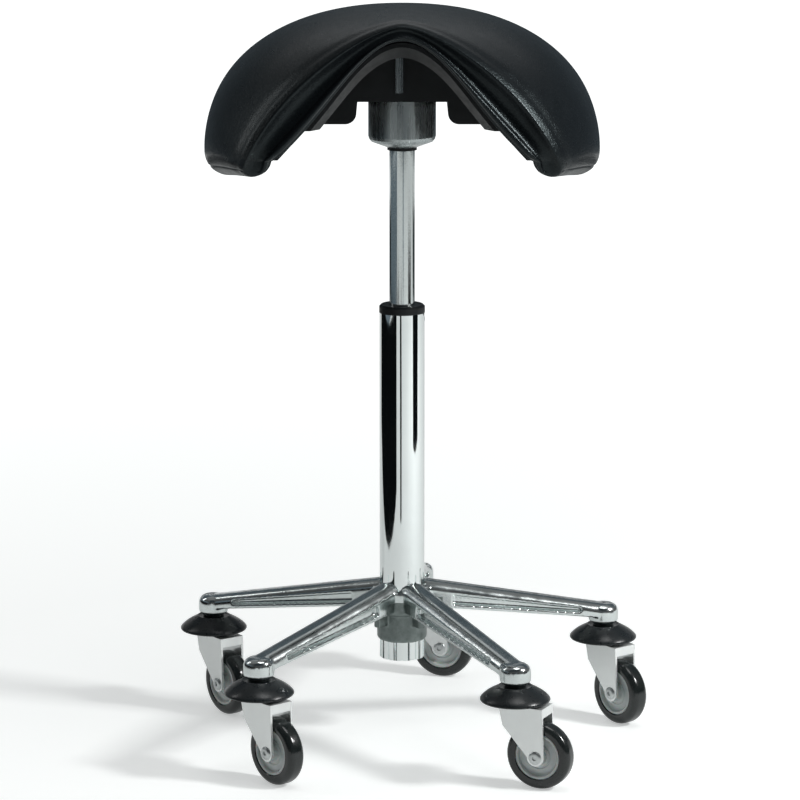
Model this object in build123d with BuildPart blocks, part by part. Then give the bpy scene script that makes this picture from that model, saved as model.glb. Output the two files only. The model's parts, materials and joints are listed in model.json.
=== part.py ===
from build123d import *
import os
from math import cos, exp, pi, radians, sin

# Dentist's saddle stool: five-star cast base on castors, a gas-sprung column, and a
# saddle seat. Millimetres, +Z up. The origin is on the column axis at floor level, and
# the rider faces -Y. The stool is modelled at the top of its height travel.

# ---- driving dimensions ------------------------------------------------------------
FIT = 0.05                  # radial clearance of a running fit

PIN_RADIUS = 236.0          # castor pins, from the column axis
ARM_COUNT = 5
FIRST_ARM = 85.0            # direction of the rear arm, degrees from +X
CASTOR_HEADINGS = (-17.0, -54.0, -49.0, -25.0, -51.0)   # trailing directions at rest

ARM_W = 30.0
ARM_TOP_HUB = 176.0         # arm top where it meets the column
ARM_TOP_TIP = 135.0
ARM_BOTTOM_HUB = 149.0
ARM_BOTTOM_TIP = 120.0
BOSS_R = 17.0
BOSS_BOTTOM = 110.0
HUB_R = 33.0
HUB_TOP = 167.6
HUB_BOTTOM = 141.0
BARREL_R = 28.2
BARREL_BOTTOM = 107.7

WHEEL_R = 36.8
TYRE_BORE_R = 25.5
TREAD_W = 21.0
AXLE_R = 4.0
TRAIL = 30.0                # wheel axle behind the castor pin
FORK_HALF_W = 15.2
FORK_SHEET = 2.5
CROWN_BOTTOM = 81.0
CROWN_TOP = 91.0
BUMPER_R = 38.0
BUMPER_BOTTOM = 93.5
STEM_R = 5.5
STEM_TOP = 127.0

COLUMN_R = 25.1
COLUMN_BORE_R = 23.0
COLUMN_BOTTOM = 87.6
COLUMN_TOP = 481.6
BUSH_TOP = 490.5
BUSH_BOTTOM = 392.0

ROD_R = 5.0
PISTON_BOTTOM = 330.0
CYLINDER_R = 14.0
CYLINDER_BORE_R = 12.0
CYLINDER_BOTTOM = 300.0
CYLINDER_TOP = 699.5

HOUSING_R = 37.2
HOUSING_BOTTOM = 666.5
HOUSING_TOP = 715.5
FLANGE_TOP = 727.5
LEVER_Z = 709.0
LEVER_PIVOT_Y = 20.0
LEVER_R = 4.0

CRADLE_TOP = 737.5
CRADLE_HALF_L = 100.0
LOBE_BOTTOM = 703.5
NOTCH_HALF_W = 49.0
CLEAR = 500.0               # a cutting box this size reaches past the whole part

# ---- helpers -----------------------------------------------------------------------
os.makedirs("parts", exist_ok=True)
UP = (Align.CENTER, Align.CENTER, Align.MIN)


def save(part, name):
    """Label a finished piece and write it as its own STEP file."""
    part.label = name
    export_step(part, f"parts/{name}.step")


def save_placed(part, place, name):
    """Write a copy of a piece that was made about its own origin."""
    with BuildPart() as placed:
        with Locations(place):
            add(part)
    save(placed.part, name)


def tube(inner, outer, bottom, top):
    """A plain ring or tube on the column axis."""
    with BuildPart() as ring:
        with BuildSketch(Plane.XY.offset(bottom)):
            Circle(outer)
            Circle(inner, mode=Mode.SUBTRACT)
        extrude(amount=top - bottom)
    return ring.part


def turned(outline):
    """A piece turned about +Z from its (radius, height) outline."""
    with BuildPart() as piece:
        with BuildSketch(Plane.XZ):
            with BuildLine():
                Polyline(*outline, close=True)
            make_face()
        revolve(axis=Axis.Z)
    return piece.part


arm_angles = [FIRST_ARM + 360 / ARM_COUNT * i for i in range(ARM_COUNT)]
pin_places = [
    Location((PIN_RADIUS * cos(radians(a)), PIN_RADIUS * sin(radians(a)), 0))
    for a in arm_angles
]

# ---- base casting: hub, five channelled arms, castor bosses ------------------------
ARM_EDGE_R = 11.0
BOSS_EDGE_R = 9.0
BOSS_LOWER_EDGE_R = 4.0
NECK_R = 12.0               # short neck between the arm's end and the bumper
NECK_TOP = 113.0
RECESS_DEPTH = 6.0
RECESS_START = 56.0
RECESS_END = 206.0
RECESS_HUB_H = 10.5
RECESS_TIP_H = 5.0
FLANGE_H = 5.0              # arm material below the recess
HUB_EDGE_R = 3.0
BARREL_EDGE = 3.0
RIB_W = 8.0                 # webs that carry the arms down onto the barrel
RIB_R = 44.0
RIB_BOTTOM = 128.0


def arm_bottom(r):
    """Height of the arm's underside at radius r."""
    return ARM_BOTTOM_HUB + (ARM_BOTTOM_TIP - ARM_BOTTOM_HUB) * r / PIN_RADIUS


with BuildPart() as arm:
    with BuildSketch(Plane.XZ) as arm_side:
        with BuildLine():
            Polyline(
                (0, arm_bottom(0)),
                (0, ARM_TOP_HUB),
                (COLUMN_R, ARM_TOP_HUB),
                (PIN_RADIUS, ARM_TOP_TIP),
                (PIN_RADIUS, arm_bottom(PIN_RADIUS)),
                close=True,
            )
        make_face()
    extrude(amount=ARM_W / 2, both=True)
    long_edges = arm.edges().filter_by(lambda e: e.length > PIN_RADIUS - 2 * COLUMN_R)
    fillet(long_edges.group_by(Axis.Z)[-1], ARM_EDGE_R)
    for flank in (1, -1):
        cheek = Plane(origin=(0, flank * ARM_W / 2, 0), x_dir=(1, 0, 0), z_dir=(0, -flank, 0))
        start_low = arm_bottom(RECESS_START) + FLANGE_H
        end_low = arm_bottom(RECESS_END) + FLANGE_H
        with BuildSketch(cheek) as recess:
            with BuildLine():
                Polyline(
                    (RECESS_START, flank * start_low),
                    (RECESS_END, flank * end_low),
                    (RECESS_END, flank * (end_low + RECESS_TIP_H)),
                    (RECESS_START, flank * (start_low + RECESS_HUB_H)),
                    close=True,
                )
            make_face()
        extrude(amount=RECESS_DEPTH, mode=Mode.SUBTRACT)
    with BuildSketch(Plane.XY.offset(RIB_BOTTOM)) as rib:
        with Locations((RIB_R / 2, 0)):
            Rectangle(RIB_R, RIB_W)
    extrude(amount=ARM_BOTTOM_HUB - RIB_BOTTOM)

with BuildPart() as boss:
    with BuildSketch(Plane.XY.offset(NECK_TOP)) as boss_outline:
        Circle(BOSS_R)
    extrude(amount=ARM_TOP_TIP - NECK_TOP)
    fillet(boss.faces().sort_by(Axis.Z)[-1].edges(), BOSS_EDGE_R)
    fillet(boss.faces().sort_by(Axis.Z)[0].edges(), BOSS_LOWER_EDGE_R)
    with BuildSketch(Plane.XY.offset(BOSS_BOTTOM)) as neck_outline:
        Circle(NECK_R)
    extrude(amount=NECK_TOP + BOSS_LOWER_EDGE_R - BOSS_BOTTOM)

with BuildPart() as base_casting:
    with BuildSketch(Plane.XY.offset(HUB_BOTTOM)) as hub:
        Circle(HUB_R)
    extrude(amount=HUB_TOP - HUB_BOTTOM)
    with BuildSketch(Plane.XY.offset(BARREL_BOTTOM)) as barrel:
        Circle(BARREL_R)
    extrude(amount=HUB_TOP - BARREL_BOTTOM)
    chamfer(base_casting.faces().sort_by(Axis.Z)[0].edges(), BARREL_EDGE)
    for angle, place in zip(arm_angles, pin_places):
        with Locations(Location((0, 0, 0), (0, 0, angle))):
            add(arm.part)
        with Locations(place):
            add(boss.part)
    with Locations((0, 0, BARREL_BOTTOM)):
        Cylinder(COLUMN_R, ARM_TOP_HUB, align=UP, mode=Mode.SUBTRACT)
    for place in pin_places:
        with Locations(place * Location((0, 0, BOSS_BOTTOM))):
            Cylinder(STEM_R, STEM_TOP - BOSS_BOTTOM, align=UP, mode=Mode.SUBTRACT)
save(base_casting.part, "base_casting")

# ---- column: chromed sleeve with a fluted foot, end plate, guide bush --------------
FLUTE_COUNT = 10
FLUTE_TOP = 186.0
FLUTE_W = 3.0
FLUTE_DEPTH = 1.3
FLUTE_START = 18.0
PLATE_RECESS = 4.0
PLATE_H = 6.0
BEARING_R = 11.0
SCREW_Z = 474.0
SCREW_R = 2.5
SCREW_ANGLE = -68.0         # grub screw, on the front of the sleeve

with BuildPart() as column_sleeve:
    with BuildSketch(Plane.XY.offset(COLUMN_BOTTOM)) as sleeve_ring:
        Circle(COLUMN_R)
        Circle(COLUMN_BORE_R, mode=Mode.SUBTRACT)
    extrude(amount=COLUMN_TOP - COLUMN_BOTTOM)
    with BuildSketch(Plane.XY.offset(COLUMN_BOTTOM)) as flutes:
        with PolarLocations(COLUMN_R, FLUTE_COUNT, start_angle=FLUTE_START):
            Rectangle(2 * FLUTE_DEPTH, FLUTE_W)
    extrude(amount=FLUTE_TOP - COLUMN_BOTTOM, mode=Mode.SUBTRACT)
    with Locations(Location((0, 0, SCREW_Z), (0, 90, SCREW_ANGLE))):
        Cylinder(SCREW_R, COLUMN_R + 1, align=UP, mode=Mode.SUBTRACT)
save(column_sleeve.part, "column_sleeve")

with BuildPart() as guide_bush:
    with BuildSketch(Plane.XZ) as bush_section:
        with BuildLine():
            Polyline(
                (CYLINDER_R + FIT, BUSH_BOTTOM),
                (COLUMN_BORE_R, BUSH_BOTTOM),
                (COLUMN_BORE_R, COLUMN_TOP),
                (COLUMN_R + 0.3, COLUMN_TOP),
                (COLUMN_R + 0.3, BUSH_TOP - 2),
                (COLUMN_R - 1.7, BUSH_TOP),
                (CYLINDER_R + FIT, BUSH_TOP),
                close=True,
            )
        make_face()
    revolve(axis=Axis.Z)
    with Locations(Location((0, 0, SCREW_Z), (0, 90, SCREW_ANGLE))):
        with Locations((0, 0, COLUMN_BORE_R - 3)):
            Cylinder(SCREW_R, 6, align=UP, mode=Mode.SUBTRACT)
save(guide_bush.part, "guide_bush")

with BuildPart() as bush_screw:
    with Locations(Location((0, 0, SCREW_Z), (0, 90, SCREW_ANGLE))):
        with Locations((0, 0, COLUMN_BORE_R - 3)):
            Cylinder(SCREW_R, COLUMN_R + 0.2 - COLUMN_BORE_R + 3, align=UP)
save(bush_screw.part, "bush_screw")

plate_bottom = COLUMN_BOTTOM + PLATE_RECESS
plate_top = plate_bottom + PLATE_H
bearing_top = plate_top + 6.0
buffer_top = bearing_top + 10.0
save(tube(ROD_R + FIT, COLUMN_BORE_R, plate_bottom, plate_top), "column_end_plate")
save(tube(ROD_R + FIT, BEARING_R, plate_top, bearing_top), "thrust_bearing")
save(tube(ROD_R + FIT, BEARING_R + 2, bearing_top, buffer_top), "buffer_washer")

# ---- piston rod and piston: the part of the spring that stays down -----------------
CLIP_H = 1.6
CLIP_GAP = 0.2
PISTON_H = 15.0
with BuildPart() as piston_rod:
    rod_bottom = plate_bottom - CLIP_H - 2 * CLIP_GAP
    with BuildSketch(Plane.XY.offset(rod_bottom)) as rod_section:
        Circle(ROD_R)
    extrude(amount=PISTON_BOTTOM - rod_bottom)
save(piston_rod.part, "piston_rod")
clip_bottom = plate_bottom - CLIP_H - CLIP_GAP
save(tube(ROD_R, ROD_R + 3, clip_bottom, clip_bottom + CLIP_H), "retaining_clip")
with BuildPart() as piston:
    with BuildSketch(Plane.XY.offset(PISTON_BOTTOM)) as piston_section:
        Circle(CYLINDER_BORE_R - FIT)
    extrude(amount=PISTON_H)
save(piston.part, "piston")

# ---- gas cylinder, its gland and its release pin -----------------------------------
GLAND_H = 20.0
VALVE_H = 10.0
PIN_R = 2.0
PIN_TOP = 704.6
PIN_LENGTH = 26.0
with BuildPart() as gas_cylinder:
    with BuildSketch(Plane.XY.offset(CYLINDER_BOTTOM)) as cylinder_section:
        Circle(CYLINDER_R)
    extrude(amount=CYLINDER_TOP - CYLINDER_BOTTOM)
    with BuildSketch(Plane.XY.offset(CYLINDER_BOTTOM)) as cylinder_bore:
        Circle(CYLINDER_BORE_R)
    extrude(amount=CYLINDER_TOP - VALVE_H - CYLINDER_BOTTOM, mode=Mode.SUBTRACT)
    with BuildSketch(Plane.XY.offset(CYLINDER_TOP)) as pin_bore:
        Circle(PIN_R + FIT)
    extrude(amount=-VALVE_H, mode=Mode.SUBTRACT)
save(gas_cylinder.part, "gas_cylinder")
save(
    tube(ROD_R + FIT, CYLINDER_BORE_R, CYLINDER_BOTTOM, CYLINDER_BOTTOM + GLAND_H),
    "cylinder_gland",
)
with BuildPart() as release_pin:
    with BuildSketch(Plane.XY.offset(PIN_TOP)) as pin_section:
        Circle(PIN_R)
    extrude(amount=-PIN_LENGTH)
    fillet(release_pin.faces().sort_by(Axis.Z)[-1].edges(), PIN_R / 2)
save(release_pin.part, "release_pin")

# ---- mechanism housing, closing flange, collar -------------------------------------
CAVITY_R = 25.0
PIVOT_R = 2.5
PIVOT_HALF_L = 30.0
SCREW_CIRCLE_R = 30.0       # four screws hold the flange up against the cradle
SCREW_SHANK_R = 2.5
SLOT_HALF_W = 8.0
housing_floor = CYLINDER_TOP + 0.5
with BuildPart() as mech_housing:
    add(
        turned(
            [
                (CYLINDER_R, HOUSING_BOTTOM),
                (18.0, HOUSING_BOTTOM),
                (34.0, HOUSING_BOTTOM + 6),
                (36.4, HOUSING_BOTTOM + 9),
                (HOUSING_R, HOUSING_BOTTOM + 12),
                (HOUSING_R, HOUSING_TOP),
                (CAVITY_R, HOUSING_TOP),
                (CAVITY_R, housing_floor),
                (CYLINDER_R, housing_floor),
            ]
        )
    )
    with BuildSketch(Plane.XY.offset(housing_floor)) as lever_slot:
        with Locations((0, HOUSING_R - 10)):
            Rectangle(2 * SLOT_HALF_W, 25)
    extrude(amount=HOUSING_TOP - housing_floor, mode=Mode.SUBTRACT)
    with BuildSketch(Plane.YZ) as pivot_bore:
        with Locations((LEVER_PIVOT_Y, LEVER_Z)):
            Circle(PIVOT_R)
    extrude(amount=HOUSING_R, both=True, mode=Mode.SUBTRACT)
save(mech_housing.part, "mech_housing")
save(tube(CYLINDER_R, 16.3, HOUSING_BOTTOM - 3.6, HOUSING_BOTTOM), "rod_collar")

with BuildPart() as mount_flange:
    with BuildSketch(Plane.XY.offset(HOUSING_TOP)) as flange_outline:
        Circle(HOUSING_R - 0.7)
        with PolarLocations(SCREW_CIRCLE_R, 4, start_angle=45):
            Circle(SCREW_SHANK_R, mode=Mode.SUBTRACT)
    extrude(amount=FLANGE_TOP - HOUSING_TOP)
save(mount_flange.part, "mount_flange")

with BuildPart() as flange_screws:
    with BuildSketch(Plane.XY.offset(HOUSING_TOP)) as screw_shanks:
        with PolarLocations(SCREW_CIRCLE_R, 4, start_angle=45):
            Circle(SCREW_SHANK_R)
    extrude(amount=CRADLE_TOP - 2 - HOUSING_TOP)
save(flange_screws.part, "flange_screws")

# ---- height lever ------------------------------------------------------------------
LEVER_INNER_Y = -4.0
LEVER_OUTER_Y = 178.0
LEVER_HUB_R = 5.5
LEVER_HUB_HALF_L = 5.0
GRIP_START_Y = 128.0
GRIP_R = 8.0
with BuildPart() as lever_pivot_pin:
    with BuildSketch(Plane.YZ) as pivot_section:
        with Locations((LEVER_PIVOT_Y, LEVER_Z)):
            Circle(PIVOT_R)
    extrude(amount=PIVOT_HALF_L, both=True)
save(lever_pivot_pin.part, "lever_pivot_pin")

with BuildPart() as release_lever:
    with BuildSketch(Plane.XZ.offset(-LEVER_OUTER_Y)) as lever_section:
        with Locations((0, LEVER_Z)):
            Circle(LEVER_R)
    extrude(amount=LEVER_OUTER_Y - LEVER_INNER_Y)
    with BuildSketch(Plane.YZ) as lever_hub:
        with Locations((LEVER_PIVOT_Y, LEVER_Z)):
            Circle(LEVER_HUB_R)
    extrude(amount=LEVER_HUB_HALF_L, both=True)
    with BuildSketch(Plane.YZ) as lever_bore:
        with Locations((LEVER_PIVOT_Y, LEVER_Z)):
            Circle(PIVOT_R + FIT)
    extrude(amount=LEVER_HUB_HALF_L, both=True, mode=Mode.SUBTRACT)
save(release_lever.part, "release_lever")

with BuildPart() as lever_grip:
    with BuildSketch(Plane.XZ.offset(-LEVER_OUTER_Y - 4)) as grip_section:
        with Locations((0, LEVER_Z)):
            Circle(GRIP_R)
    extrude(amount=LEVER_OUTER_Y + 4 - GRIP_START_Y)
    fillet(lever_grip.edges(), GRIP_R / 3)
    with BuildSketch(Plane.XZ.offset(-LEVER_OUTER_Y)) as grip_bore:
        with Locations((0, LEVER_Z)):
            Circle(LEVER_R)
    extrude(amount=LEVER_OUTER_Y - GRIP_START_Y + 1, mode=Mode.SUBTRACT)
save(lever_grip.part, "lever_grip")

# ---- saddle: every station is an arch-shaped band ----------------------------------
# A station is (y, half width, wall at the wing tip, spring height, outer apex, outer
# power, inner apex, inner power). Both arches stand on one spring height, and a half
# circle closes each wing tip below it. An arch is a superellipse of that power, or a
# bell where the power is 0.
STATIONS = (
    (-165.0, 168.0, 32.0, 671.0, 819.5, 1.45, 799.5, 0),
    (-90.0, 203.0, 50.0, 672.0, 822.0, 1.85, 788.0, 1.65),
    (20.0, 218.0, 50.0, 660.0, 821.0, 2.2, 777.0, 2.0),
    (105.0, 211.0, 49.0, 668.0, 812.0, 2.2, 768.0, 2.0),
    (170.0, 186.0, 46.0, 684.0, 797.0, 2.2, 762.0, 2.0),
)
ARCH_STEPS = 12
BELL_W = 76.0
PAN_GAP = 1.0
PAN_SHEET = 5.0
PAN_FRONT = -158.0
PAN_REAR = 160.0
LIP_DEPTH = 15.0            # the pan's front edge is turned in above the cradle's lobes
LIP_W = 14.0
LIP_EDGE = 1.0
SEAM_GAP = 0.05
CRADLE_WALL = 5.0
LOBE_EDGE_R = 12.0
POCKET_X = 77.0             # weight-saving pockets inside the two lobes
POCKET_W = 42.0


def bell(across):
    """Height of a bell at a distance from its middle, as a share of its apex."""
    return exp(-((across / BELL_W) ** 2) / 2)


def arch_points(half_width, spring, apex, power):
    """Points along an arch from its left spring to its right one."""
    points = []
    for step in range(ARCH_STEPS + 1):
        angle = pi * (step / ARCH_STEPS - 0.5)
        if power:
            across = abs(sin(angle)) ** (2 / power) * half_width
            level = abs(cos(angle)) ** (2 / power)
        else:
            across = abs(sin(angle)) * half_width
            level = (bell(across) - bell(half_width)) / (1 - bell(half_width))
        points.append((across if angle > 0 else -across, spring + level * (apex - spring)))
    return points


def inner_points(station, inset):
    """The arch under the padding, moved in by inset."""
    _, half_width, wall, spring, _, _, apex, power = station
    return arch_points(half_width - wall - inset, spring, apex - inset, power)


with BuildPart() as saddle_cushion:
    for station in STATIONS:
        y, half_width, wall, spring, apex, power, _, _ = station
        over = arch_points(half_width, spring, apex, power)
        under = inner_points(station, 0)
        tip_x = half_width - wall / 2
        with BuildSketch(Plane.XZ.offset(-y)) as padded_band:
            with BuildLine():
                Spline(*over)
                ThreePointArc(over[-1], (tip_x, spring - wall / 2), under[-1])
                Spline(*under)
                ThreePointArc(under[0], (-tip_x, spring - wall / 2), over[0])
            make_face()
    loft()
save(saddle_cushion.part, "saddle_cushion")

with BuildPart() as pan_sheet:
    for station in STATIONS:
        over = inner_points(station, PAN_GAP)
        under = inner_points(station, PAN_GAP + PAN_SHEET)
        with BuildSketch(Plane.XZ.offset(-station[0])) as thin_band:
            with BuildLine():
                Spline(*over)
                Line(over[-1], under[-1])
                Spline(*under)
                Line(under[0], over[0])
            make_face()
    loft()
    with Locations((0, (PAN_FRONT + PAN_REAR) / 2, CRADLE_TOP)):
        Box(CLEAR, PAN_REAR - PAN_FRONT, CLEAR, mode=Mode.INTERSECT)


def vault(inset):
    """The space under the saddle's arch, with its walls moved in by inset."""
    with BuildPart() as space:
        for station in STATIONS:
            under = inner_points(station, inset)
            with BuildSketch(Plane.XZ.offset(-station[0])):
                with BuildLine():
                    Spline(*under)
                    Line(under[-1], under[0])
                make_face()
        loft()
    return space.part


with BuildPart() as funnel:
    for y, inset in ((PAN_FRONT, LIP_EDGE), (PAN_FRONT + LIP_DEPTH, LIP_W)):
        mouth = inner_points(STATIONS[0], PAN_GAP + PAN_SHEET + inset)
        with BuildSketch(Plane.XZ.offset(-y)) as funnel_section:
            with BuildLine():
                Spline(*mouth)
                far_right = (mouth[-1][0], LOBE_BOTTOM - CLEAR)
                far_left = (mouth[0][0], LOBE_BOTTOM - CLEAR)
                Polyline(mouth[-1], far_right, far_left, mouth[0])
            make_face()
    loft()

with BuildPart() as seat_pan:
    add(vault(PAN_GAP + PAN_SHEET - LIP_EDGE))
    with Locations((0, PAN_FRONT + LIP_DEPTH / 2, LOBE_BOTTOM)):
        Box(CLEAR, LIP_DEPTH, CLEAR, align=UP, mode=Mode.INTERSECT)
    add(funnel.part, mode=Mode.SUBTRACT)
    add(pan_sheet.part)
save(seat_pan.part, "seat_pan")

free_vault = vault(PAN_GAP + PAN_SHEET + SEAM_GAP)
with BuildPart() as end_walls:
    add(free_vault)
    wall_middle = CRADLE_HALF_L - CRADLE_WALL / 2
    with Locations((0, wall_middle, CRADLE_TOP), (0, -wall_middle, CRADLE_TOP)):
        Box(CLEAR, CRADLE_WALL, CLEAR, align=UP, mode=Mode.INTERSECT)

with BuildPart() as seat_cradle:
    add(free_vault)
    with Locations((0, 0, LOBE_BOTTOM)):
        Box(CLEAR, 2 * CRADLE_HALF_L, CRADLE_TOP - LOBE_BOTTOM, align=UP, mode=Mode.INTERSECT)
        notch_h = FLANGE_TOP - LOBE_BOTTOM
        Box(2 * NOTCH_HALF_W, 2 * CRADLE_HALF_L, notch_h, align=UP, mode=Mode.SUBTRACT)
    low_edges = seat_cradle.edges().filter_by(Axis.Y).group_by(Axis.Z)[0]
    fillet(low_edges.filter_by(lambda e: abs(e.center().X) < NOTCH_HALF_W + 1), LOBE_EDGE_R)
    pocket_floor = LOBE_BOTTOM + CRADLE_WALL
    with Locations((POCKET_X, 0, pocket_floor), (-POCKET_X, 0, pocket_floor)):
        Box(POCKET_W, 2 * (CRADLE_HALF_L - CRADLE_WALL), CLEAR, align=UP, mode=Mode.SUBTRACT)
    with BuildSketch(Plane.XY.offset(FLANGE_TOP)) as screw_sockets:
        with PolarLocations(SCREW_CIRCLE_R, 4, start_angle=45):
            Circle(SCREW_SHANK_R)
    extrude(amount=CRADLE_TOP - 2 - FLANGE_TOP, mode=Mode.SUBTRACT)
    add(end_walls.part)
save(seat_cradle.part, "seat_cradle")

# ---- front strut: a steel stiffener on the cradle's front wall ---------------------
STRUT_X = -3.0
STRUT_W = 8.0
STRUT_T = 5.0
with BuildPart() as front_strut:
    with Locations((STRUT_X, -CRADLE_HALF_L - STRUT_T / 2, CRADLE_TOP)):
        Box(STRUT_W, STRUT_T, CLEAR, align=UP)
    add(free_vault, mode=Mode.INTERSECT)
save(front_strut.part, "front_strut")

# ---- castors: made once about the pin axis, trailing towards +X --------------------
FORK_FRONT_X = -13.3
FORK_REAR_X = 37.6
FORK_EYE_R = 9.5
WHEEL_GAP = 0.4
AXLE_HEAD_R = 7.0
AXLE_HEAD_H = 2.2
HUB_FACE_R = 9.0
WEB_HALF_W = 6.0
RIM_HALF_W = 9.0
TREAD_EDGE_R = 7.0
RACE_H = 1.9
axle_plane = Plane(origin=(TRAIL, 0, WHEEL_R), x_dir=(1, 0, 0), z_dir=(0, -1, 0))
inner_w = FORK_HALF_W - FORK_SHEET

with BuildPart() as castor_fork:
    with BuildSketch(Plane.XZ) as fork_side:
        with BuildLine():
            Polyline(
                (FORK_FRONT_X, CROWN_TOP),
                (FORK_REAR_X, CROWN_TOP),
                (TRAIL + FORK_EYE_R, WHEEL_R),
                (TRAIL - FORK_EYE_R, WHEEL_R),
                (FORK_FRONT_X + 5, CROWN_BOTTOM - 12),
                close=True,
            )
        make_face()
        with Locations((TRAIL, WHEEL_R)):
            Circle(FORK_EYE_R)
    extrude(amount=FORK_HALF_W, both=True)
    with Locations((0, 0, 0)):
        Box(CLEAR, 2 * inner_w, CROWN_BOTTOM, align=UP, mode=Mode.SUBTRACT)
    with BuildSketch(axle_plane) as axle_bore:
        Circle(AXLE_R)
    extrude(amount=FORK_HALF_W, both=True, mode=Mode.SUBTRACT)
    with Locations((0, 0, CROWN_BOTTOM)):
        Cylinder(STEM_R + FIT, CROWN_TOP - CROWN_BOTTOM, align=UP, mode=Mode.SUBTRACT)

with BuildPart() as castor_axle:
    with BuildSketch(axle_plane) as axle_section:
        Circle(AXLE_R)
    extrude(amount=FORK_HALF_W, both=True)
    for side in (1, -1):
        with BuildSketch(axle_plane.offset(side * FORK_HALF_W)) as axle_head:
            Circle(AXLE_HEAD_R)
        extrude(amount=side * AXLE_HEAD_H)

wheel_outline = (
    (AXLE_R + FIT, -inner_w + WHEEL_GAP),
    (HUB_FACE_R, -inner_w + WHEEL_GAP),
    (HUB_FACE_R + 1, -WEB_HALF_W),
    (TYRE_BORE_R - 3.5, -WEB_HALF_W),
    (TYRE_BORE_R - 2.5, -RIM_HALF_W),
    (TYRE_BORE_R, -RIM_HALF_W),
    (TYRE_BORE_R, RIM_HALF_W),
    (TYRE_BORE_R - 2.5, RIM_HALF_W),
    (TYRE_BORE_R - 3.5, WEB_HALF_W),
    (HUB_FACE_R + 1, WEB_HALF_W),
    (HUB_FACE_R, inner_w - WHEEL_GAP),
    (AXLE_R + FIT, inner_w - WHEEL_GAP),
)
axle_place = Location((TRAIL, 0, WHEEL_R), (90, 0, 0))
wheel_core = turned(wheel_outline)
with BuildPart() as tyre:
    with BuildSketch(Plane.XZ) as tyre_section:
        with Locations(((TYRE_BORE_R + WHEEL_R) / 2, 0)):
            Rectangle(WHEEL_R - TYRE_BORE_R, TREAD_W)
        tread_corners = tyre_section.vertices().group_by(Axis.X)[-1]
        fillet(tread_corners, TREAD_EDGE_R)
    revolve(axis=Axis.Z)

bumper = turned(
    [
        (STEM_R, BUMPER_BOTTOM),
        (BUMPER_R - 2, BUMPER_BOTTOM),
        (BUMPER_R, BUMPER_BOTTOM + 2),
        (BUMPER_R - 1.5, BUMPER_BOTTOM + 4.5),
        (BUMPER_R - 8, BUMPER_BOTTOM + 10.5),
        (BUMPER_R - 15, BUMPER_BOTTOM + 14.5),
        (BUMPER_R - 19, BOSS_BOTTOM),
        (STEM_R, BOSS_BOTTOM),
    ]
)
stem = turned(
    [
        (0, CROWN_BOTTOM - 2.6),
        (9, CROWN_BOTTOM - 2.6),
        (9, CROWN_BOTTOM - 0.2),
        (STEM_R, CROWN_BOTTOM - 0.2),
        (STEM_R, BUMPER_BOTTOM - RACE_H),
        (15, BUMPER_BOTTOM - RACE_H),
        (15, BUMPER_BOTTOM),
        (STEM_R, BUMPER_BOTTOM),
        (STEM_R, STEM_TOP),
        (0, STEM_TOP),
    ]
)

for number, (place, heading) in enumerate(zip(pin_places, CASTOR_HEADINGS), start=1):
    turn = place * Location((0, 0, 0), (0, 0, heading))
    save_placed(bumper, place, f"bumper_{number}")
    save_placed(stem, place, f"castor_stem_{number}")
    save_placed(castor_fork.part, turn, f"castor_fork_{number}")
    save_placed(castor_axle.part, turn, f"castor_axle_{number}")
    save_placed(wheel_core, turn * axle_place, f"wheel_core_{number}")
    save_placed(tyre.part, turn * axle_place, f"tyre_{number}")
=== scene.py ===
import json
import math

import bmesh
import bpy
import numpy as np
from mathutils import Matrix, Vector

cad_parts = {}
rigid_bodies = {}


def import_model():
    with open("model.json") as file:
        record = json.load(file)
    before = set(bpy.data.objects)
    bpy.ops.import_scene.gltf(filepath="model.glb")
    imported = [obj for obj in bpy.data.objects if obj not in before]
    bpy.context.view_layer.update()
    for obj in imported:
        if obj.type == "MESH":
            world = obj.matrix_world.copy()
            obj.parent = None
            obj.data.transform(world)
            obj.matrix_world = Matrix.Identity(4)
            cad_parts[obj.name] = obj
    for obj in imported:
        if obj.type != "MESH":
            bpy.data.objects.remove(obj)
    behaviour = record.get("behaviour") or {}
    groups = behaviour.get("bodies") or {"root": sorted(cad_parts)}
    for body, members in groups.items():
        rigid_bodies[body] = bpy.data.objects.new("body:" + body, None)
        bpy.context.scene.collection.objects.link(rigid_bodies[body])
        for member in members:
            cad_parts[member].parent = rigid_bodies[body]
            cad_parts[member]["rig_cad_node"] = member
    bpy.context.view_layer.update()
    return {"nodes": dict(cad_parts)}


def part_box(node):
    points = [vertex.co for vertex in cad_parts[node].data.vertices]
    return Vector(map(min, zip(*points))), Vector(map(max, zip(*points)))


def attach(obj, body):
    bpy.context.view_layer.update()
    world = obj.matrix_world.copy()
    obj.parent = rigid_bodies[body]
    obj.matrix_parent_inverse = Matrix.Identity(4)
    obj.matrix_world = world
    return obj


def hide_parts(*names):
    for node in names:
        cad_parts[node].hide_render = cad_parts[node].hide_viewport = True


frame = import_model()
nodes = frame["nodes"]

MM = 0.001
CASTORS = range(1, 6)

# The colour sockets of a Mix node: both inputs, then the result.
MIX_COLOURS = (6, 7)
MIX_RESULT = 2


# ---- camera, light and floor -------------------------------------------------------
# (name, place, width and height, watts) of each softbox, and the point they all face.
LAMPS = (
    ("key", (2.3, -0.9, 2.0), (0.4, 0.5), 62),
    ("top", (0.4, -0.5, 3.0), (1.2, 1.2), 14),
    ("left", (-2.2, 0.4, 1.6), (0.3, 1.6), 5),
)
LAMP_TARGET = (0, 0, 0.5)

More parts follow.
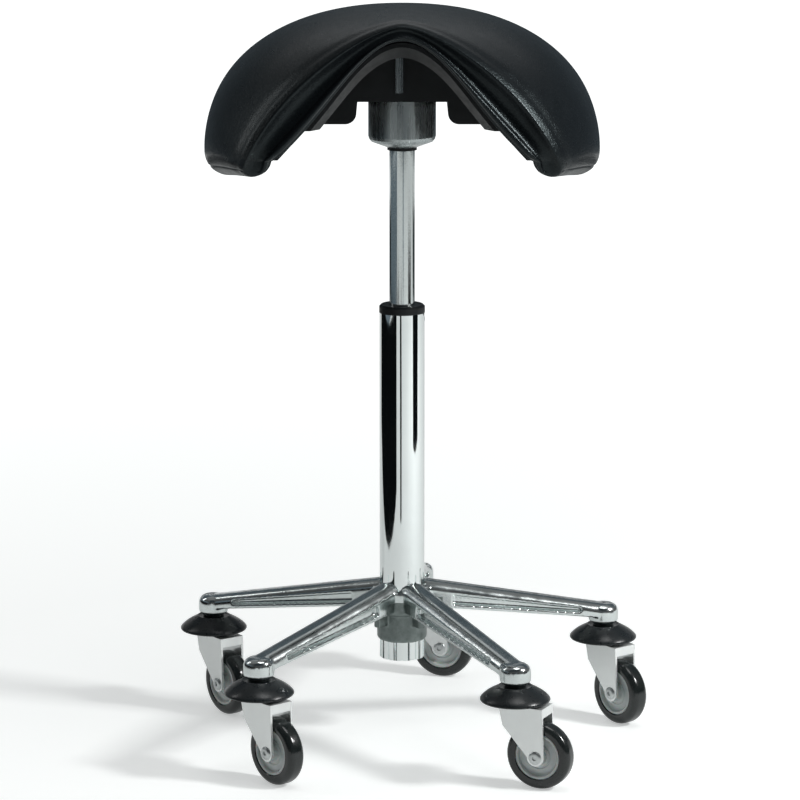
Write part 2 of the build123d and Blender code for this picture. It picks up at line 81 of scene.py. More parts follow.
# Cards by name: azimuths and distances of both edges, lowest and highest point, shade.
# Azimuth 0 is the camera's side and 90 is +X. The low ones make the column's black
# strips, the next ones the streaks on the rod and the housing, the last two keep the
# top of the leather dark.
CARDS = (
    ("low_left", (-28, -131), (1.25, 1.75), (0.0, 0.31), 0.003),
    ("low_centre", (-3, -11), (1.07, 1.06), (0.0, 0.31), 0.003),
    ("low_right", (56, 87), (1.55, 1.59), (0.0, 0.31), 0.003),
    ("high_left_edge", (-122, -178), (1.3, 1.3), (0.28, 0.43), 0.02),
    ("high_left", (-46, -122), (1.3, 1.3), (0.28, 0.53), 0.16),
    ("high_centre", (6, 14), (1.3, 1.3), (0.28, 0.53), 0.2),
    ("high_right_edge", (112, 176), (1.3, 1.3), (0.28, 0.43), 0.03),
    ("housing_front", (-44, 62), (1.3, 1.3), (0.556, 1.6), 0.03),
    ("back_left", (-108, -180), (1.3, 1.3), (0.5, 1.35), 0.085),
    ("back_right", (108, 180), (1.3, 1.3), (0.5, 1.35), 0.085),
)
CARD_TINT = (0.8, 1.0, 1.15)

# Brightness of the room along each axis of the sky, as (place, level) stops.
ROOM = (
    ("Y", ((0.0, 0.06), (0.45, 0.1), (0.85, 0.7))),
    ("Z", ((0.1, 0.0), (0.6, 0.0), (0.95, 0.12))),
)
ROOM_TINT = (1.0, 1.01, 1.02)

# The floor's shade and its glow near the stool and far away, as (shade, near, far).
FLOOR_SEEN = (0.8, 0.44, 1.0)
FLOOR_MIRRORED = (0.6, 0.24, 0.5)
FLOOR_REACH = (0.7, 3.5)
FLOOR_HALF = 30
PAPER_TINT = (1.0, 1.02, 1.01)
PAPER_GLOW = (0.98, 1.0, 0.995, 1)


def make_camera():
    """Stands in front of the stool, a little above the seat, looking slightly down."""
    aside, distance, height, pitch = -0.0023, 4.0, 1.203, 11.6
    data = bpy.data.cameras.new("camera")
    data.lens = 164.9
    data.sensor_width = 36.0
    cam = bpy.data.objects.new("camera", data)
    cam.location = (aside, -distance, height)
    cam.rotation_euler = (math.radians(90 - pitch), 0, 0)
    bpy.context.scene.collection.objects.link(cam)
    bpy.context.scene.camera = cam


def area_light(name, place, size, power):
    """A rectangular softbox aimed at the middle of the stool."""
    data = bpy.data.lights.new(name, "AREA")
    data.shape = "RECTANGLE"
    data.size, data.size_y = size
    data.energy = power
    lamp = bpy.data.objects.new(name, data)
    lamp.location = place
    aim = Vector(LAMP_TARGET) - Vector(place)
    lamp.rotation_euler = aim.to_track_quat("-Z", "Y").to_euler()
    bpy.context.scene.collection.objects.link(lamp)


def card(name, azimuths, distances, heights, shade):
    """An upright studio card that only mirrors see: no camera ray, no shadow."""
    feet = [
        (distance * math.sin(math.radians(az)), -distance * math.cos(math.radians(az)))
        for az, distance in zip(azimuths, distances)
    ]
    low = [(x, y, heights[0]) for x, y in feet]
    high = [(x, y, heights[1]) for x, y in reversed(feet)]
    mesh = bpy.data.meshes.new(name)
    mesh.from_pydata(low + high, [], [(0, 1, 2, 3)])
    obj = new_object(name, mesh)
    obj.visible_camera = False
    obj.visible_shadow = False
    obj.visible_diffuse = False
    mat = bpy.data.materials.new(name)
    mat.use_nodes = True
    tree = mat.node_tree
    glow = tree.nodes.new("ShaderNodeEmission")
    glow.inputs["Color"].default_value = (*(part * shade for part in CARD_TINT), 1)
    tree.links.new(glow.outputs[0], tree.nodes["Material Output"].inputs["Surface"])
    mesh.materials.append(mat)


def split_rays(tree, seen, mirrored):
    """A shader that shows one side to the camera and the other to everything else."""
    path = tree.nodes.new("ShaderNodeLightPath")
    mix = tree.nodes.new("ShaderNodeMixShader")
    tree.links.new(path.outputs["Is Camera Ray"], mix.inputs[0])
    tree.links.new(mirrored.outputs[0], mix.inputs[1])
    tree.links.new(seen.outputs[0], mix.inputs[2])
    return mix.outputs[0]


def fill_ramp(ramp, stops):
    """Give a colour ramp its (place, colour) stops."""
    elements = ramp.color_ramp.elements
    while len(elements) < len(stops):
        elements.new(0.5)
    for element, (place, colour) in zip(elements, stops):
        element.position = place
        element.color = (*colour, 1)


def make_world():
    """White to the camera; to the rest a dim room, a white sweep behind, a pale ceiling."""
    world = bpy.data.worlds.new("studio")
    bpy.context.scene.world = world
    world.use_nodes = True
    tree = world.node_tree
    coords = tree.nodes.new("ShaderNodeTexCoord")
    split = tree.nodes.new("ShaderNodeSeparateXYZ")
    tree.links.new(coords.outputs["Generated"], split.inputs[0])
    total = tree.nodes.new("ShaderNodeMix")
    total.data_type, total.blend_type = "RGBA", "ADD"
    total.inputs[0].default_value = 1.0
    for socket, (axis, stops) in zip(MIX_COLOURS, ROOM):
        ramp = tree.nodes.new("ShaderNodeValToRGB")
        tree.links.new(split.outputs[axis], ramp.inputs["Fac"])
        fill_ramp(ramp, [(place, [level * part for part in ROOM_TINT]) for place, level in stops])
        tree.links.new(ramp.outputs["Color"], total.inputs[socket])
    room = tree.nodes["Background"]
    tree.links.new(total.outputs[MIX_RESULT], room.inputs["Color"])
    white = tree.nodes.new("ShaderNodeBackground")
    white.inputs["Color"].default_value = (1, 1, 1, 1)
    surface = tree.nodes["World Output"].inputs["Surface"]
    tree.links.new(split_rays(tree, white, room), surface)


def make_floor():
    """Pale paper, lit to white for the camera and duller in the chrome."""
    mesh = bpy.data.meshes.new("floor")
    signs = ((-1, -1), (1, -1), (1, 1), (-1, 1))
    mesh.from_pydata([(FLOOR_HALF * x, FLOOR_HALF * y, 0) for x, y in signs], [], [(0, 1, 2, 3)])
    new_object("floor", mesh)
    mat = bpy.data.materials.new("floor_paper")
    mat.use_nodes = True
    tree = mat.node_tree
    coords = tree.nodes.new("ShaderNodeTexCoord")
    reach = tree.nodes.new("ShaderNodeVectorMath")
    reach.operation = "LENGTH"
    tree.links.new(coords.outputs["Object"], reach.inputs[0])
    papers = []
    for shade, near, far in (FLOOR_SEEN, FLOOR_MIRRORED):
        glow = tree.nodes.new("ShaderNodeMapRange")
        glow.inputs["From Min"].default_value, glow.inputs["From Max"].default_value = FLOOR_REACH
        glow.inputs["To Min"].default_value = near
        glow.inputs["To Max"].default_value = far
        tree.links.new(reach.outputs["Value"], glow.inputs["Value"])
        paper = tree.nodes.new("ShaderNodeBsdfPrincipled")
        paper.inputs["Base Color"].default_value = (*(part * shade for part in PAPER_TINT), 1)
        paper.inputs["Roughness"].default_value = 0.8
        paper.inputs["Emission Color"].default_value = PAPER_GLOW
        tree.links.new(glow.outputs["Result"], paper.inputs["Emission Strength"])
        papers.append(paper)
    surface = tree.nodes["Material Output"].inputs["Surface"]
    tree.links.new(split_rays(tree, *papers), surface)
    mesh.materials.append(mat)


def make_studio():
    """Floor, room, softboxes, and the dark cards that the metal and the leather reflect."""
    make_world()
    make_floor()
    for lamp in LAMPS:
        area_light(*lamp)
    for values in CARDS:
        card(*values)
    bpy.context.scene.view_settings.view_transform = "Standard"


# ---- material nodes ----------------------------------------------------------------
class Shader:
    """A Principled material and short ways to add the textures that vary it."""

    def __init__(self, name):
        self.mat = bpy.data.materials.new(name)
        self.mat.use_nodes = True
        self.tree = self.mat.node_tree
        self.bsdf = self.tree.nodes["Principled BSDF"]
        self.coords = self.node("ShaderNodeTexCoord").outputs["Object"]

    def node(self, kind, **settings):
        """A new node with its properties set."""
        made = self.tree.nodes.new(kind)
        for key, value in settings.items():
            setattr(made, key, value)
        return made

    def link(self, a, b):
        """Connect an output to an input."""
        self.tree.links.new(a, b)

    def set(self, **values):
        """Set the shader's own sockets, named with _ for each space."""
        for key, value in values.items():
            socket = self.bsdf.inputs[key.replace("_", " ")]
            socket.default_value = (*value, 1) if isinstance(value, tuple) else value
        return self

    def noise(self, scale, detail=3.0, rough=0.5, stretch=None):
        """Noise over the object; a smaller stretch along an axis draws it out that way."""
        tex = self.node("ShaderNodeTexNoise")
        tex.inputs["Scale"].default_value = scale
        tex.inputs["Detail"].default_value = detail
        tex.inputs["Roughness"].default_value = rough
        self.link(self.stretched(stretch), tex.inputs["Vector"])
        return tex.outputs["Fac"]

    def stretched(self, stretch):
        """The object's coordinates, each axis times its own factor."""
        if stretch is None:
            return self.coords
        mapping = self.node("ShaderNodeMapping")
        mapping.inputs["Scale"].default_value = stretch
        self.link(self.coords, mapping.inputs["Vector"])
        return mapping.outputs["Vector"]

    def ramp(self, fac, stops):
        """Colours or grey levels along fac, as (place, value) pairs."""
        ramp = self.node("ShaderNodeValToRGB")
        self.link(fac, ramp.inputs["Fac"])
        fill_ramp(ramp, [(place, v if isinstance(v, tuple) else (v, v, v)) for place, v in stops])
        return ramp.outputs["Color"]

    def within(self, scale, reach):
        """1 where the scaled position is nearer to the origin than reach, else 0."""
        size = self.node("ShaderNodeVectorMath", operation="LENGTH")
        self.link(self.stretched(scale), size.inputs[0])
        less = self.node("ShaderNodeMath", operation="LESS_THAN")
        self.link(size.outputs["Value"], less.inputs[0])
        less.inputs[1].default_value = reach
        return less.outputs[0]

    def mix(self, fac, a, b):
        """From a to b as fac goes from 0 to 1."""
        node = self.node("ShaderNodeMix", data_type="RGBA")
        for socket, value in zip((0, *MIX_COLOURS), (fac, a, b)):
            self.link(value, node.inputs[socket])
        return node.outputs[MIX_RESULT]

    def colour(self, fac, dark, light):
        """Base colour between two tones."""
        self.link(self.ramp(fac, ((0.3, dark), (0.7, light))), self.bsdf.inputs["Base Color"])

    def rough(self, fac, low, high):
        """Roughness between two levels."""
        self.link(self.ramp(fac, ((0.3, low), (0.7, high))), self.bsdf.inputs["Roughness"])

    def bump(self, *layers):
        """Each layer is (height, distance in metres); later layers ride on earlier ones."""
        normal = None
        for height, distance in layers:
            node = self.node("ShaderNodeBump")
            node.inputs["Distance"].default_value = distance
            self.link(height, node.inputs["Height"])
            if normal is not None:
                self.link(normal, node.inputs["Normal"])
            normal = node.outputs["Normal"]
        self.link(normal, self.bsdf.inputs["Normal"])
        return self


def make_leather():
    """Black upholstery leather: fine pebble grain, satin top coat, faint creasing."""
    m = Shader("leather_black")
    m.set(IOR=1.5, Coat_Weight=0.06, Coat_Roughness=0.16, Specular_IOR_Level=0.26)
    m.set(Specular_Tint=(0.8, 0.97, 1.0), Coat_Tint=(0.9, 1.0, 1.0))
    cloud = m.noise(scale=9, detail=4)
    pores = m.noise(scale=900, detail=2)
    grain = m.ramp(m.noise(scale=520, detail=1), ((0.42, 0.0), (0.58, 1.0)))
    m.colour(cloud, dark=(0.0035, 0.0045, 0.0055), light=(0.006, 0.0075, 0.009))
    m.rough(m.noise(scale=60, detail=4), low=0.27, high=0.36)
    return m.bump((cloud, 0.0006), (grain, 0.00009), (pores, 0.00004))


def make_chrome(name, tint, low, high):
    """Bright plate with faint wipe marks."""
    m = Shader(name)
    m.set(Metallic=1.0)
    wipe = m.noise(scale=14, detail=5, rough=0.65)
    m.colour(wipe, dark=tuple(0.93 * part for part in tint), light=tint)
    m.rough(m.noise(scale=90, detail=4, rough=0.6, stretch=(1, 1, 0.12)), low, high)
    return m.bump((m.noise(scale=22, detail=2), 0.00004))


def make_alloy():
    """Polished die-cast aluminium; the barrel under the arms is rougher as cast and carries painted
    shade.
    """
    barrel_radius, barrel_top = 0.046, 0.157
    m = Shader("alloy_polished")
    m.set(Metallic=1.0)
    cloud = m.noise(scale=18, detail=5, rough=0.6)
    blotch = m.noise(scale=150, detail=5, rough=0.65)
    bright = m.ramp(cloud, ((0.25, (0.6, 0.655, 0.65)), (0.75, (0.8, 0.85, 0.845))))
    # Painted shade: the barrel under the arms gets a much darker colour where the arms shade it; its
    # rougher cast finish is set in the roughness below.
    painted_barrel_shade = m.ramp(blotch, ((0.3, (0.16, 0.19, 0.185)), (0.7, (0.27, 0.31, 0.3))))
    barrel = m.node("ShaderNodeMath", operation="MULTIPLY")
    m.link(m.within((1, 1, 0), barrel_radius), barrel.inputs[0])
    m.link(m.within((0, 0, 1), barrel_top), barrel.inputs[1])
    m.link(m.mix(barrel.outputs[0], bright, painted_barrel_shade), m.bsdf.inputs["Base Color"])
    wear = m.ramp(m.noise(scale=55, detail=4), ((0.3, 0.12), (0.7, 0.26)))
    grit = m.ramp(m.noise(scale=300, detail=3), ((0.3, 0.34), (0.7, 0.46)))
    m.link(m.mix(barrel.outputs[0], wear, grit), m.bsdf.inputs["Roughness"])
    dents = m.noise(scale=40, detail=2)
    return m.bump((dents, 0.00025), (m.noise(scale=420, detail=3), 0.00003))


def make_brushed(name, tint, direction, low, high, fine=260):
    """Turned or brushed metal: long fine scratches along one direction."""
    m = Shader(name)
    m.set(Metallic=1.0)
    lines = m.noise(scale=fine, detail=3, rough=0.6, stretch=direction)
    m.colour(lines, dark=tuple(0.86 * part for part in tint), light=tint)
    m.rough(lines, low, high)
    return m.bump((lines, 0.00002))


def make_plastic(name, dark, light, low, high):
    """Moulded plastic or rubber with a fine spark-eroded skin."""
    m = Shader(name)
    m.set(IOR=1.48)
    m.colour(m.noise(scale=24, detail=4), dark, light)
    m.rough(m.noise(scale=120, detail=3), low, high)
    pebble = m.noise(scale=1400, detail=2)
    return m.bump((pebble, 0.00003), (m.noise(scale=35, detail=2), 0.0001))


def make_materials():
    """Material by the record's slot name."""
    along_z = (1, 1, 0.03)
    round_z = (0.05, 0.05, 1)
    grey = make_plastic("grey_translucent", (0.42, 0.46, 0.455), (0.62, 0.66, 0.655), 0.12, 0.22)
    grey.set(Coat_Weight=0.5, Coat_Roughness=0.08, Subsurface_Weight=0.25, Subsurface_Scale=0.004)
    tyre = make_plastic("tyre_black", (0.008, 0.011, 0.011), (0.018, 0.023, 0.023), 0.14, 0.26)
    tyre.set(Coat_Weight=0.35, Coat_Roughness=0.12)
    black = make_plastic("plastic_black", (0.005, 0.006, 0.0065), (0.009, 0.011, 0.012), 0.32, 0.48)
    black.set(Specular_IOR_Level=0.3)
    cone = make_plastic("rubber_bumper", (0.008, 0.011, 0.012), (0.018, 0.022, 0.024), 0.24, 0.36)
    fork = make_chrome("chrome_pressed", (0.97, 1.0, 0.995), 0.14, 0.26)
    fork.set(Metallic=0.6)
    ground = make_brushed("steel_ground", (0.72, 0.77, 0.765), round_z, 0.1, 0.15, fine=3000)
    return {
        "leather": make_leather(),
        "chrome": make_chrome("chrome_bright", (0.9, 0.95, 0.945), 0.02, 0.06),
        "fork_chrome": fork,
        "polished_alloy": make_alloy(),
        "brushed_steel": ground,
        "steel": make_brushed("steel_zinc", (0.66, 0.69, 0.69), along_z, 0.26, 0.4),
        "grey_alloy": make_brushed("alloy_dark", (0.42, 0.46, 0.465), along_z, 0.2, 0.34),
        "black_plastic": black,
        "bumper_rubber": cone,
        "rubber": make_plastic("rubber_black", (0.012,) * 3, (0.02,) * 3, 0.5, 0.65),
        "grey_plastic": grey,
        "tyre": tyre,
    }


def paint(obj, slot):
    """Give a piece or a CAD node the material of one slot."""
    obj.data.materials.clear()
    obj.data.materials.append(looks[slot].mat)


# ---- mesh helpers ------------------------------------------------------------------
def new_object(name, mesh):
    """An object in the scene around a mesh."""
    obj = bpy.data.objects.new(name, mesh)
    bpy.context.scene.collection.objects.link(obj)
    return obj


def lathe(name, outline, steps=96):
    """A closed ring turned about Z from (radius, height) points in millimetres."""
    count = len(outline)
    points, faces = [], []
    for step in range(steps):
        turn = 2 * math.pi * step / steps
        points += [(r * MM * math.cos(turn), r * MM * math.sin(turn), z * MM) for r, z in outline]
    for step in range(steps):
        here, there = step * count, (step + 1) % steps * count
        for i in range(count):
            j = (i + 1) % count
            faces.append((here + i, there + i, there + j, here + j))
    mesh = bpy.data.meshes.new(name)
    mesh.from_pydata(points, [], faces)
    bm = bmesh.new()
    bm.from_mesh(mesh)
    bmesh.ops.remove_doubles(bm, verts=bm.verts, dist=1e-7)
    bmesh.ops.recalc_face_normals(bm, faces=bm.faces)
    bm.to_mesh(mesh)
    bm.free()
    mesh.shade_smooth()
    mesh.set_sharp_from_angle(angle=math.radians(35))
    return mesh


def two_sided(side):
    """A closed lathe outline from its upper half, inner point first."""
    return side + [(r, -z) for r, z in reversed(side)]


# ---- saddle ------------------------------------------------------------------------
# (y, half width, wall at the wing tip, spring height, outer apex, outer power, inner
# apex, inner power, bell share of the inner arch). Both arches stand on one spring
# height: the outer one is a superellipse, the inner one turns into a bell at the front.
STATIONS = (
    (-165.0, 168.0, 32.0, 671.0, 819.5, 1.45, 799.5, 1.3, 1.0),
    (-90.0, 203.0, 50.0, 672.0, 822.0, 1.85, 788.0, 1.65, 0.0),
    (20.0, 218.0, 50.0, 660.0, 821.0, 2.2, 777.0, 2.0, 0.0),
    (105.0, 211.0, 49.0, 668.0, 812.0, 2.2, 768.0, 2.0, 0.0),
    (170.0, 186.0, 46.0, 684.0, 797.0, 2.2, 762.0, 2.0, 0.0),
)
FRONT, REAR = STATIONS[0][0], STATIONS[-1][0]
LENGTH = REAR - FRONT
BELL_W = 76.0

# How far the wing tips roll under, and where on that roll the lower seam runs.
TIP_TURN = math.radians(72)
SEAM_TURN = math.radians(38)
TIP_TURNS = (0.16, 0.33, 0.48, SEAM_TURN - 0.06, SEAM_TURN, SEAM_TURN + 0.06, 0.86, 1.05, TIP_TURN)
ARCH_STEPS = 72

# Rows of the skins: their distance from the front or from the rear edge, in millimetres.
FRONT_ROWS = (0.0, 4.0, 9.0, 16.0)
BODY_START, BODY_END, BODY_ROWS = 26, 30, 28
REAR_ROWS = (19.0, 11.0, 5.0, 0.0)

# Across the front border from the ridge to the inner edge: (share of the way, how many
# millimetres it stands forward of the ridge where the border is wide, what it is).
BORDER = (
    (0.0, 0.0, ""),
    (0.05, 1.8, ""),
    (0.11, 1.4, ""),
    (0.19, -2.0, ""),
    (0.31, -6.0, ""),
    (0.46, -8.0, ""),
    (0.6, -6.5, ""),
    (0.69, -3.0, "seam"),
    (0.75, 0.6, ""),
    (0.82, 2.4, ""),
    (0.9, 1.6, ""),
    (0.95, -0.6, "seam"),
    (1.0, -2.0, ""),
)
WIDE_BORDER = 45.0
FRONT_BULGE, REAR_BULGE = 1.5, 9.0

# How far the front ridge rolls inwards, by its row, and the row that is the edge seam.
RIDGE_ROLL = {0.0: 4.2, 4.0: 1.7, 9.0: 0.4}
EDGE_SEAM = 9.0

# The plan's corners: from which share of the arch they start, how much the arch and the
# wing tip add, and how far the front and rear edges draw back there.
CORNER_START, CORNER_SPAN = 0.7, 0.3
CORNER_ARCH, CORNER_TIP = 0.6, 0.4
FRONT_INSET, REAR_INSET, INSET_REACH = 20, 34, 120

SWELL_CAP = 3.0 * MM
SEAM_DEPTH = 1.5 * MM
CLOTH_FRAMES = 20


def spline_table():
    """Natural cubic spline through the stations, one curve per column."""
    knots = np.array([s[0] for s in STATIONS])
    values = np.array([s[1:] for s in STATIONS])
    gaps = np.diff(knots)
    count = len(knots)
    system = np.eye(count)
    right = np.zeros_like(values)
    rise = np.diff(values, axis=0) / gaps[:, None]
    for i in range(1, count - 1):
        system[i, i - 1 : i + 2] = gaps[i - 1], 2 * (gaps[i - 1] + gaps[i]), gaps[i]
        right[i] = 6 * (rise[i] - rise[i - 1])
    return knots, values, np.linalg.solve(system, right)


SPLINE = spline_table()


def station_at(y):
    """The values of STATIONS at any y."""
    knots, values, bends = SPLINE
    i = int(np.clip(np.searchsorted(knots, y) - 1, 0, len(knots) - 2))
    gap = knots[i + 1] - knots[i]
    b = (y - knots[i]) / gap
    a = 1 - b
    ease = ((a**3 - a) * bends[i] + (b**3 - b) * bends[i + 1]) * gap**2 / 6
    return a * values[i] + b * values[i + 1] + ease


def arch(half, spring, apex, power, share, bell=0.0):
    """A point on an arch; share runs from -1 at its left spring to 1 at its right."""
    angle = share * math.pi / 2
    across = abs(math.sin(angle)) ** (2 / power) * half
    level = abs(math.cos(angle)) ** (2 / power)
    if bell > 0:
        wide = abs(math.sin(angle)) * half
        across = (1 - bell) * across + bell * wide
        foot = math.exp(-((half / BELL_W) ** 2) / 2)
        hump = (math.exp(-((wide / BELL_W) ** 2) / 2) - foot) / (1 - foot)
        level = (1 - bell) * level + bell * hump
    return math.copysign(across, share), spring + level * (apex - spring)


def band_point(y, share, turn, t):
    """A point in the padded band at one y: along the arch, then t from outer to inner."""
    half, wall, spring, over, over_power, under, under_power, bell = station_at(y)
    bell = min(1.0, max(0.0, bell))
    if turn <= 0:
        a = arch(half, spring, over, over_power, share)
        b = arch(half - wall, spring, under, under_power, share, bell)
        return (1 - t) * a[0] + t * b[0], (1 - t) * a[1] + t * b[1]
    side = math.copysign(1, share)
    radius = wall / 2
    blend = (turn / TIP_TURN) ** 2
    angle = turn + (math.pi - 2 * turn) * t
    straight = (math.cos(turn) * (1 - 2 * t), math.sin(turn))
    x = (1 - blend) * straight[0] + blend * math.cos(angle)
    z = (1 - blend) * straight[1] + blend * math.sin(angle)
    return side * (half - radius + radius * x), spring - radius * z


def saddle_columns():
    """(share, tip turn) of every column from the left wing tip to the right one."""
    middle = [(2 * i / ARCH_STEPS - 1, 0.0) for i in range(ARCH_STEPS + 1)]
    left = [(-1.0, turn) for turn in reversed(TIP_TURNS)]
    return left + middle + [(1.0, turn) for turn in TIP_TURNS]


def saddle_rows():
    """Distances along y of every row of the skins, closer together at both ends."""
    body = list(np.linspace(BODY_START, LENGTH - BODY_END, BODY_ROWS))
    return [*FRONT_ROWS, *body, *(LENGTH - distance for distance in REAR_ROWS)]


def build_saddle():
    """The cover as a closed box of quads: skins, borders and rolled wing tips."""
    columns, rows = saddle_columns(), saddle_rows()
    last_i, last_j, last_k = len(columns) - 1, len(rows) - 1, len(BORDER) - 1
    index, points, seams, pinned = {}, [], [], []

    def place(i, j, k):
        """Number of the point in column i, row j and border step k, made when first asked."""
        if (i, j, k) in index:
            return index[i, j, k]
        share, turn = columns[i]
        t, forward, kind = BORDER[k]
        y = FRONT + rows[j]
        past = max(0.0, (abs(share) - CORNER_START) / CORNER_SPAN)
        corner = past * CORNER_ARCH + CORNER_TIP * turn / TIP_TURN
        inset_front = FRONT_INSET * corner**2 * max(0.0, 1 - rows[j] / INSET_REACH)
        inset_rear = REAR_INSET * corner**2 * max(0.0, 1 - (REAR - y) / INSET_REACH)
        y += inset_front - inset_rear
        fade = 1 - turn / TIP_TURN
        drop = RIDGE_ROLL.get(rows[j], 0.0) if k == 0 else 0.0
        if j == 0 and k < last_k:
            drop = RIDGE_ROLL[0.0] * (1 - t)
        a = Vector(band_point(y, share, turn, 0))
        b = Vector(band_point(y, share, turn, 1))
        width = max((b - a).length, 1.0)
        x, z = band_point(y, share, turn, t + fade * drop / width * (1 - t))
        if j == 0:
            y -= forward * fade * min(1.0, width / WIDE_BORDER) + FRONT_BULGE * math.sin(math.pi * t)
        if j == last_j:
            y += REAR_BULGE * math.sin(math.pi * t)
        number = index[i, j, k] = len(points)
        points.append((x * MM, y * MM, z * MM))
        front_seam = j == 0 and kind == "seam" and turn < SEAM_TURN - 0.05
        low_seam = k == 0 and abs(turn - SEAM_TURN) < 1e-6
        edge_seam = k == 0 and (rows[j] == EDGE_SEAM or j == last_j - 2)
        if front_seam or low_seam or edge_seam:
            seams.append(number)
        if k == last_k or j == 0 or low_seam or edge_seam:
            pinned.append(number)
        return number

    faces = []

    def quad(*corners):
        faces.append([place(*corner) for corner in corners])

    for i in range(last_i):
        for j in range(last_j):
            for k in (0, last_k):
                quad((i, j, k), (i + 1, j, k), (i + 1, j + 1, k), (i, j + 1, k))
        for k in range(last_k):
            for j in (0, last_j):
                quad((i, j, k), (i + 1, j, k), (i + 1, j, k + 1), (i, j, k + 1))
    for j in range(last_j):
        for k in range(last_k):
            for i in (0, last_i):
                quad((i, j, k), (i, j + 1, k), (i, j + 1, k + 1), (i, j, k + 1))
    mesh = bpy.data.meshes.new("saddle_cover")
    mesh.from_pydata(points, [], faces)
    bm = bmesh.new()
    bm.from_mesh(mesh)
    bmesh.ops.recalc_face_normals(bm, faces=bm.faces)
    bm.to_mesh(mesh)
    bm.free()
    mesh.shade_smooth()
    return mesh, seams, pinned


def inflate(obj, pinned, cap):
    """Let the cover swell between its seams for a moment, then keep a share of it."""
    group = obj.vertex_groups.new(name="held")
    group.add(pinned, 1.0, "REPLACE")
    before = np.array([v.co for v in obj.data.vertices])
    mod = obj.modifiers.new("stuffing", "CLOTH")
    cloth = mod.settings
    cloth.quality = 6
    cloth.mass = 0.3
    cloth.use_pressure = True
    cloth.uniform_pressure_force = 4.0
    cloth.vertex_group_mass = "held"
    cloth.effector_weights.gravity = 0
    cloth.tension_stiffness = cloth.compression_stiffness = 20
    cloth.bending_stiffness = 2
    scene = bpy.context.scene
    mod.point_cache.frame_start, mod.point_cache.frame_end = 1, CLOTH_FRAMES
    for step in range(1, CLOTH_FRAMES + 1):
        scene.frame_set(step)
    graph = bpy.context.evaluated_depsgraph_get()
    after = np.array([v.co for v in obj.evaluated_get(graph).data.vertices])
    obj.modifiers.remove(mod)
    scene.frame_set(1)
    move = after - before
    length = np.linalg.norm(move, axis=1, keepdims=True)
    kept = move * cap / (cap + length)
    obj.data.vertices.foreach_set("co", (before + kept).ravel())
    obj.data.update()


def sink(obj, chosen, depth):
    """Pull the chosen vertices inwards along their normals, as sewing does."""
    obj.data.update()
    normals = [obj.data.vertices[i].normal.copy() for i in chosen]
    for i, normal in zip(chosen, normals):
        obj.data.vertices[i].co -= normal * depth


def make_saddle():
    """The stuffed leather cover that stands for the plain CAD cushion."""
    mesh, seams, pinned = build_saddle()
    obj = new_object("saddle_cover", mesh)
    inflate(obj, pinned, SWELL_CAP)
    sink(obj, seams, SEAM_DEPTH)
    mod = obj.modifiers.new("skin", "SUBSURF")
    mod.levels = mod.render_levels = 2
    paint(obj, "leather")
    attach(obj, "seat_unit")
    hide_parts("saddle_cushion")


# ---- castors -----------------------------------------------------------------------
# Outlines are (radius, height) in millimetres. Wheel pieces are centred on the wheel,
# with the height along the axle; the bumper's height is above the floor.
def castor_frames(number):
    """The castor pin's matrix with +X trailing, and the wheel's with +Z on its axle."""
    low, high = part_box(f"castor_stem_{number}")
    pin = (low + high) / 2
    low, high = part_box(f"tyre_{number}")
    hub = (low + high) / 2
    heading = math.atan2(hub.y - pin.y, hub.x - pin.x)
    turn = Matrix.Rotation(heading, 4, "Z")
    pin_frame = Matrix.Translation((pin.x, pin.y, 0)) @ turn
    wheel_frame = Matrix.Translation(hub) @ turn @ Matrix.Rotation(math.pi / 2, 4, "X")
    return pin_frame, wheel_frame


def rounded(centre, radius, start, end, steps):
    """Points of an arc, angles in degrees."""
    made = []
    for step in range(steps + 1):
        angle = math.radians(start + (end - start) * step / steps)
        made.append((centre[0] + radius * math.cos(angle), centre[1] + radius * math.sin(angle)))
    return made


def tyre_mesh():
    """Solid tyre with rounded shoulders and a flat tread."""
    half, bore, outer, edge = 10.5, 25.5, 36.8, 7.0
    outline = [(bore, -9.4), (bore + 0.8, -half + 0.2), (bore + 2.2, -half)]
    outline += rounded((outer - edge, -half + edge), edge, -90, 0, 8)
    outline += rounded((outer - edge, half - edge), edge, 0, 90, 8)
    outline += [(bore + 2.2, half), (bore + 0.8, half - 0.2), (bore, 9.4)]
    return lathe("tyre_ring", outline, 128)


def core_mesh():
    """Moulded hub: bearing boss, ring groove, dished web and a rim lip."""
    half = 12.3
    side = [(4.05, half), (8.4, half), (9.2, half - 0.7), (9.6, 7.4), (10.4, 6.4), (12.6, 6.0)]
    side += [(13.2, 5.2), (14.0, 5.2), (14.6, 6.0), (20.4, 5.6), (21.4, 6.2), (22.2, 8.6)]
    side += [(22.9, 9.4), (24.9, 9.4), (25.5, 8.8)]
    return lathe("wheel_disc", two_sided(side))


def axle_mesh():
    """Shouldered bolt with a shallow socket in each low domed head."""
    face, back = 17.4, 15.25
    side = [(0.0, face - 1.5), (2.1, face - 1.5), (2.5, face), (5.0, face), (6.4, face - 0.5)]
    side += [(7.0, face - 1.3), (7.0, back), (4.0, back)]
    return lathe("axle_bolt", two_sided(side), 48)


def bumper_mesh():
    """Rubber cone over the castor, with a rolled foot and a collar under the arm."""
    outline = [(5.5, 93.6), (35.4, 93.6), (37.2, 94.1), (38.0, 95.2), (38.0, 96.2), (37.2, 97.6)]
    outline += [(34.6, 100.2), (31.2, 102.9), (27.6, 105.2), (24.0, 107.2), (21.2, 108.6)]
    outline += [(19.8, 109.2), (19.0, 110.0), (18.0, 110.3), (17.2, 110.0), (5.5, 110.0)]
    return lathe("bumper_dome", outline)


def soften_fork(fork):
    """Round the edges of the pressed fork."""
    mod = fork.modifiers.new("edge", "BEVEL")
    mod.width = 0.6 * MM
    mod.segments = 2
    mod.limit_method = "ANGLE"
    mod.angle_limit = math.radians(30)


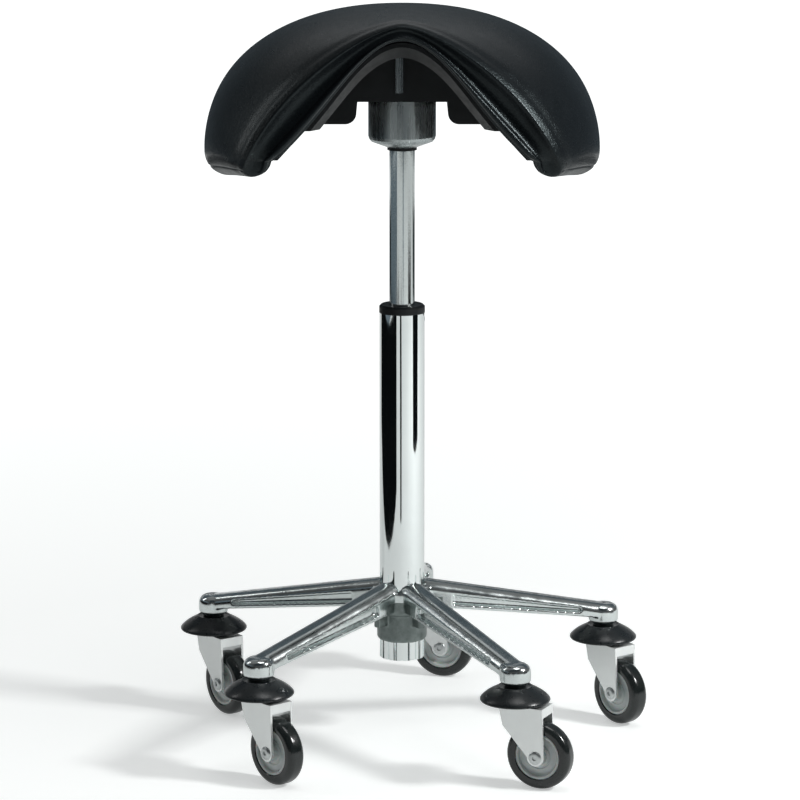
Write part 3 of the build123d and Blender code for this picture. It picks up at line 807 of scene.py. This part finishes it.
def make_castors():
    """Turned pieces for every castor, each in place of its plain CAD solid."""
    tyre, core, bumper, axle = tyre_mesh(), core_mesh(), bumper_mesh(), axle_mesh()
    for number in CASTORS:
        pin_frame, wheel_frame = castor_frames(number)
        wheel, castor = f"wheel_{number}", f"castor_{number}"
        parts = (
            ("tyre_ring", tyre, wheel_frame, "tyre", wheel, "tyre"),
            ("wheel_disc", core, wheel_frame, "grey_plastic", wheel, "wheel_core"),
            ("axle_bolt", axle, wheel_frame, "steel", castor, "castor_axle"),
            ("bumper_dome", bumper, pin_frame, "bumper_rubber", "base", "bumper"),
        )
        for name, mesh, place, slot, body, node in parts:
            obj = new_object(f"{name}_{number}", mesh)
            obj.matrix_world = place
            paint(obj, slot)
            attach(obj, body)
            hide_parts(f"{node}_{number}")
        soften_fork(nodes[f"castor_fork_{number}"])


# ---- cast star base ----------------------------------------------------------------
def make_base():
    """The casting keeps its CAD shape, with every edge rounded as a polished casting's."""
    star = nodes["base_casting"]
    remesh = star.modifiers.new("cast_skin", "REMESH")
    remesh.mode = "VOXEL"
    remesh.voxel_size = 0.0011
    remesh.use_smooth_shade = True
    relax = star.modifiers.new("polish", "SMOOTH")
    relax.factor = 0.5
    relax.iterations = 10


# The CAD nodes that stay in sight or inside, by the slot that finishes them.
SLOT_NODES = {
    "polished_alloy": ["base_casting"],
    "chrome": ["column_sleeve", "piston_rod", "release_lever"],
    "black_plastic": ["guide_bush", "rod_collar", "lever_grip", "cylinder_gland"]
    + ["seat_pan", "seat_cradle"],
    "brushed_steel": ["gas_cylinder"],
    "grey_alloy": ["mech_housing", "mount_flange", "front_strut"],
    "steel": ["bush_screw", "column_end_plate", "thrust_bearing", "retaining_clip", "piston"]
    + ["release_pin", "flange_screws", "lever_pivot_pin"]
    + [f"castor_stem_{number}" for number in CASTORS],
    "rubber": ["buffer_washer"],
    "fork_chrome": [f"castor_fork_{number}" for number in CASTORS],
}

make_camera()
make_studio()
looks = make_materials()
for slot, names in SLOT_NODES.items():
    for name in names:
        paint(nodes[name], slot)
make_saddle()
make_castors()
make_base()
